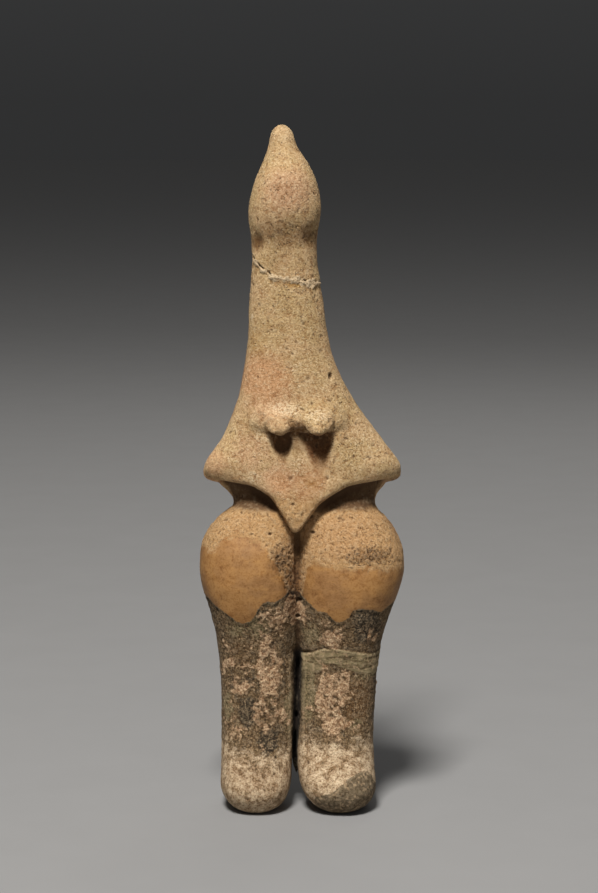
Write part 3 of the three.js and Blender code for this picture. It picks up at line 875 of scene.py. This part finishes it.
foot_colour = finish.over(FOOT_DUST, FOOT_PALE, finish.cut(mid, 0.38, 0.66))
foot_colour = finish.dim(foot_colour, FOOT_MOTTLE, finish.cut(mid, 0.48, 0.36))
foot_colour = finish.dim(foot_colour, FOOT_SPECK, finish.cut(speckle, 0.48, 0.38))
foot_colour = finish.dim(foot_colour, FOOT_GRAIN, finish.cut(sand, 0.5, 0.0))
foot_colour = finish.over(foot_colour, LEG_BROWN, finish.times(finish.cut(broken, 0.45, 0.39), 0.6))
foot_colour = finish.over(foot_colour, GAP_DARK, finish.times(gaps, 0.22))
leg_colour = finish.over(leg_colour, foot_colour, finish.times(
    finish.mask(finish.field("feet"), broken, 4.0, 0.55, 0.45), 0.9))
patch_colour = finish.over(PATCH_GREY, PATCH_DARK, finish.cut(broken, 0.50, 0.60))
patch_colour = finish.dim(patch_colour, PATCH_SPECK, finish.cut(speckle, 0.50, 0.40))
patch_colour = finish.over(patch_colour, FLECK, finish.times(flecks, 0.4))
leg_colour = finish.over(leg_colour, patch_colour, finish.times(
    finish.mask(finish.field("toe_patch"), crumb, 2.2, 0.1, 0.3), 0.9))
print("feet:", len(finish.tree.nodes), "nodes")

# %% Join the legs to the body
SLIP_RIM_SHADE = tint(158, 156, 140)

legs = finish.mask(finish.field("legs"), crumb, 1.8, 0.0, 0.25)
colour = finish.over(colour, leg_colour, legs)
rim = finish.cut(finish.sum("ABSOLUTE", finish.sum("SUBTRACT", finish.field("legs"), 1.2)), 1.6, 0.2)
colour = finish.dim(colour, SLIP_RIM_SHADE, finish.times(rim, finish.cut(mid, 0.46, 0.58)))
print("all zones:", len(finish.tree.nodes), "nodes")

# %% [markdown]
# ### Lime, filler, dirt, painted shade and the sheen
# Last come the things that lie on top of everything: whitish lime on the breasts, which also paints
# their tops paler as a painted highlight, the filler in the neck, and dirt in every small hollow with
# painted shade in the wider ones. The slit between the legs, the scoops under the breasts and the
# waist under the torso's edge get painted shadow and shade in their colour, because soft studio light
# alone leaves them too pale. Bare clay is quite matt, while the rubbed slip still has a low sheen, so
# the roughness follows the slip's mask. The bump only adds grain finer than the skin's triangles.

# %% Lay the lime, the dirt, the painted shade and the filler
LIME_AND_HIGHLIGHT = tint(228, 206, 170)
FILLER_PALE = tint(210, 184, 147)
FILLER_SHADE = tint(170, 150, 128)
PAINTED_SHADE = tint(166, 148, 130)
SCOOP_SHADE = tint(158, 132, 112)
SLIT_SHADOW = tint(26, 19, 13)
CREVICE = tint(58, 40, 26)
RECESS_SHADE = tint(80, 56, 37)
DIRT_AND_SHADE = tint(84, 60, 40)

# Whitish lime, which on the breast tops also stands in as a painted highlight.
lime_and_highlight = finish.mask(finish.field("lime_and_highlight"), crumb, 3.4, 0.74, 0.16)
colour = finish.over(colour, LIME_AND_HIGHLIGHT, finish.times(lime_and_highlight, 0.6))
# Painted shade in the neck dents, under the head, round the breasts and in the thighs' grooves.
colour = finish.dim(colour, PAINTED_SHADE, finish.field("painted_shade"))
colour = finish.dim(colour, SCOOP_SHADE, finish.field("under_breasts"))
# Dirt in the fine pits and painted shade in the wider hollows.
colour = finish.over(colour, DIRT_AND_SHADE, finish.times(finish.cut(finish.field("dirt_and_shade"), 0.2, 1.3), 0.6))
# Painted shade in the waist recess under the torso's edge.
recess_shade = finish.mask(finish.field("recess_shade"), broken, 1.2, 0.5, 0.45)
colour = finish.over(colour, RECESS_SHADE, finish.times(recess_shade, 0.85))
# Painted shadow: the slit between the legs is coloured nearly black.
colour = finish.over(colour, SLIT_SHADOW, finish.times(finish.field("slit_shadow"), 0.95))
colour = finish.over(colour, CREVICE, finish.times(finish.field("pits"), 0.55))
colour = finish.over(colour, CREVICE, finish.times(finish.cut(finish.field("opening"), 0.3, 0.8), 0.85))
filled = finish.mask(finish.field("filler"), fine, 0.5, 0.40, 0.2)
filler_colour = finish.dim(FILLER_PALE, FILLER_SHADE, finish.cut(crumb, 0.50, 0.40))
colour = finish.over(colour, filler_colour, filled)
print("dirt and mends:", len(finish.tree.nodes), "nodes")

# %% Set the sheen and the grain, and put the finish on
polished = finish.times(slip, finish.sum("SUBTRACT", 1.0, legs))
colour = finish.over(colour, GRIT_PALE, finish.times(
    finish.field("rubbed"), finish.sum("SUBTRACT", 1.0, polished), 0.16))
roughness = finish.sum("SUBTRACT", 0.94, finish.times(polished, 0.34))
level_crumb = finish.sum("SUBTRACT", crumb, 0.5)
grain = finish.times(level_crumb, finish.sum("SUBTRACT", 1.0, finish.times(polished, 0.85)))
sunk = finish.times(finish.sum("ADD", pores, holes), finish.sum("SUBTRACT", 1.0, polished), 0.35)
bump = finish.node("ShaderNodeBump", {
    "Height": finish.sum("SUBTRACT", grain, sunk), "Strength": 1.0, "Distance": 0.8 * MM})
surface = finish.node("ShaderNodeBsdfPrincipled", {
    "Base Color": colour, "Roughness": roughness, "Normal": bump.outputs["Normal"],
    "Specular IOR Level": 0.3})
finish.node("ShaderNodeOutputMaterial", {"Surface": surface.outputs[0]})
clay.data.materials.append(finish.material)
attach(clay, "root")
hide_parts("figurine")
print("finish has", len(finish.tree.nodes), "nodes")

# %% [markdown]
# ## Floor, light and camera
# The figure stands on a plain pale floor. One large soft light, high up in front and to the left, gives
# the form. The rest is kept weak, so that the undersides stay deep. The sky gets a little darker
# towards the horizon, so that it meets the far floor in one tone.

# %% Lay the floor
FLOOR_RADIUS = 12.0
PAPER_GREY = tint(138, 137, 136)
PAPER_PALE = tint(142, 141, 140)

floor_mesh = bpy.data.meshes.new("floor")
ring = [(FLOOR_RADIUS * math.cos(a), FLOOR_RADIUS * math.sin(a), 0.0)
        for a in (2 * math.pi * i / 64 for i in range(64))]
floor_mesh.from_pydata(ring, [], [range(64)])
floor = bpy.data.objects.new("floor", floor_mesh)
bpy.context.scene.collection.objects.link(floor)
floor.location.z = cad_box[0][2]
floor_finish = Finish("pale_floor")
floor_colour = floor_finish.over(PAPER_GREY, PAPER_PALE, floor_finish.cloud(40, detail=2.0))
paper_surface = floor_finish.node("ShaderNodeBsdfPrincipled", {
    "Base Color": floor_colour, "Roughness": 0.95, "Specular IOR Level": 0.05})
floor_finish.node("ShaderNodeOutputMaterial", {"Surface": paper_surface.outputs[0]})
floor_mesh.materials.append(floor_finish.material)
floor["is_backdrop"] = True
print(f"floor: {2 * FLOOR_RADIUS:.0f} m across")

# %% Set the lights
SKY_LOW = 0.030
SKY_HIGH = 0.15

centre = (Vector(cad_box[0]) + Vector(cad_box[1])) / 2


def soft_light(name, place, size, power, warmth):
    """A square soft light that faces the figure."""
    lamp = bpy.data.lights.new(name, "AREA")
    lamp.shape = "SQUARE"
    lamp.size = size
    lamp.energy = power
    lamp.color = warmth
    holder = bpy.data.objects.new(name, lamp)
    holder.location = centre + Vector(place)
    holder.rotation_euler = (-Vector(place)).to_track_quat("-Z", "Y").to_euler()
    bpy.context.scene.collection.objects.link(holder)


soft_light("key_light", (-0.28, -1.15, 1.90), 0.5, 76.0, (1.0, 0.985, 0.96))
soft_light("fill_light", (0.3, -1.4, 0.3), 0.9, 1.2, (0.97, 0.985, 1.0))
soft_light("back_light", (0.35, 1.2, 1.0), 0.9, 3.0, (1.0, 0.99, 0.97))
world = bpy.data.worlds.new("studio")
world.use_nodes = True
sky = world.node_tree
looking = sky.nodes.new("ShaderNodeTexCoord")
split = sky.nodes.new("ShaderNodeSeparateXYZ")
rise = sky.nodes.new("ShaderNodeMapRange")
rise.inputs["To Min"].default_value = SKY_LOW
rise.inputs["To Max"].default_value = SKY_HIGH
sky.links.new(looking.outputs["Generated"], split.inputs[0])
sky.links.new(split.outputs["Z"], rise.inputs["Value"])
sky.links.new(rise.outputs["Result"], sky.nodes["Background"].inputs["Strength"])
sky.nodes["Background"].inputs["Color"].default_value = (0.98, 0.99, 1.0, 1.0)
bpy.context.scene.world = world
bpy.context.scene.view_settings.view_transform = "Standard"

# %% Set the camera
CAMERA_AWAY = 1.08
CAMERA_RISE = math.radians(8)
VIEW_HEIGHT = 0.3913
SENSOR = 36.0

aim = Vector((centre.x - 1.4 * MM, centre.y + 1.2 * MM, 0.5333 * high.z))
lens = bpy.data.cameras.new("camera")
lens.sensor_fit = "AUTO"
lens.sensor_width = SENSOR
lens.lens = SENSOR * CAMERA_AWAY / VIEW_HEIGHT
camera = bpy.data.objects.new("camera", lens)
camera.location = aim + CAMERA_AWAY * Vector((0, -math.cos(CAMERA_RISE), math.sin(CAMERA_RISE)))
camera.rotation_euler = (aim - camera.location).to_track_quat("-Z", "Y").to_euler()
bpy.context.scene.collection.objects.link(camera)
bpy.context.scene.camera = camera
print(f"camera: {lens.lens:.1f} mm lens, {CAMERA_AWAY} m away")

# %% [markdown]
# ## Print the sizes
# The looks must not change the figure's size, so the form's box and the figure's box are printed.

# %% Print both sizes
bpy.context.view_layer.update()
look_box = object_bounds()
for label, box in (("form", cad_box), ("figure", look_box)):
    print(label, [[round(v / MM, 2) for v in corner] for corner in box])
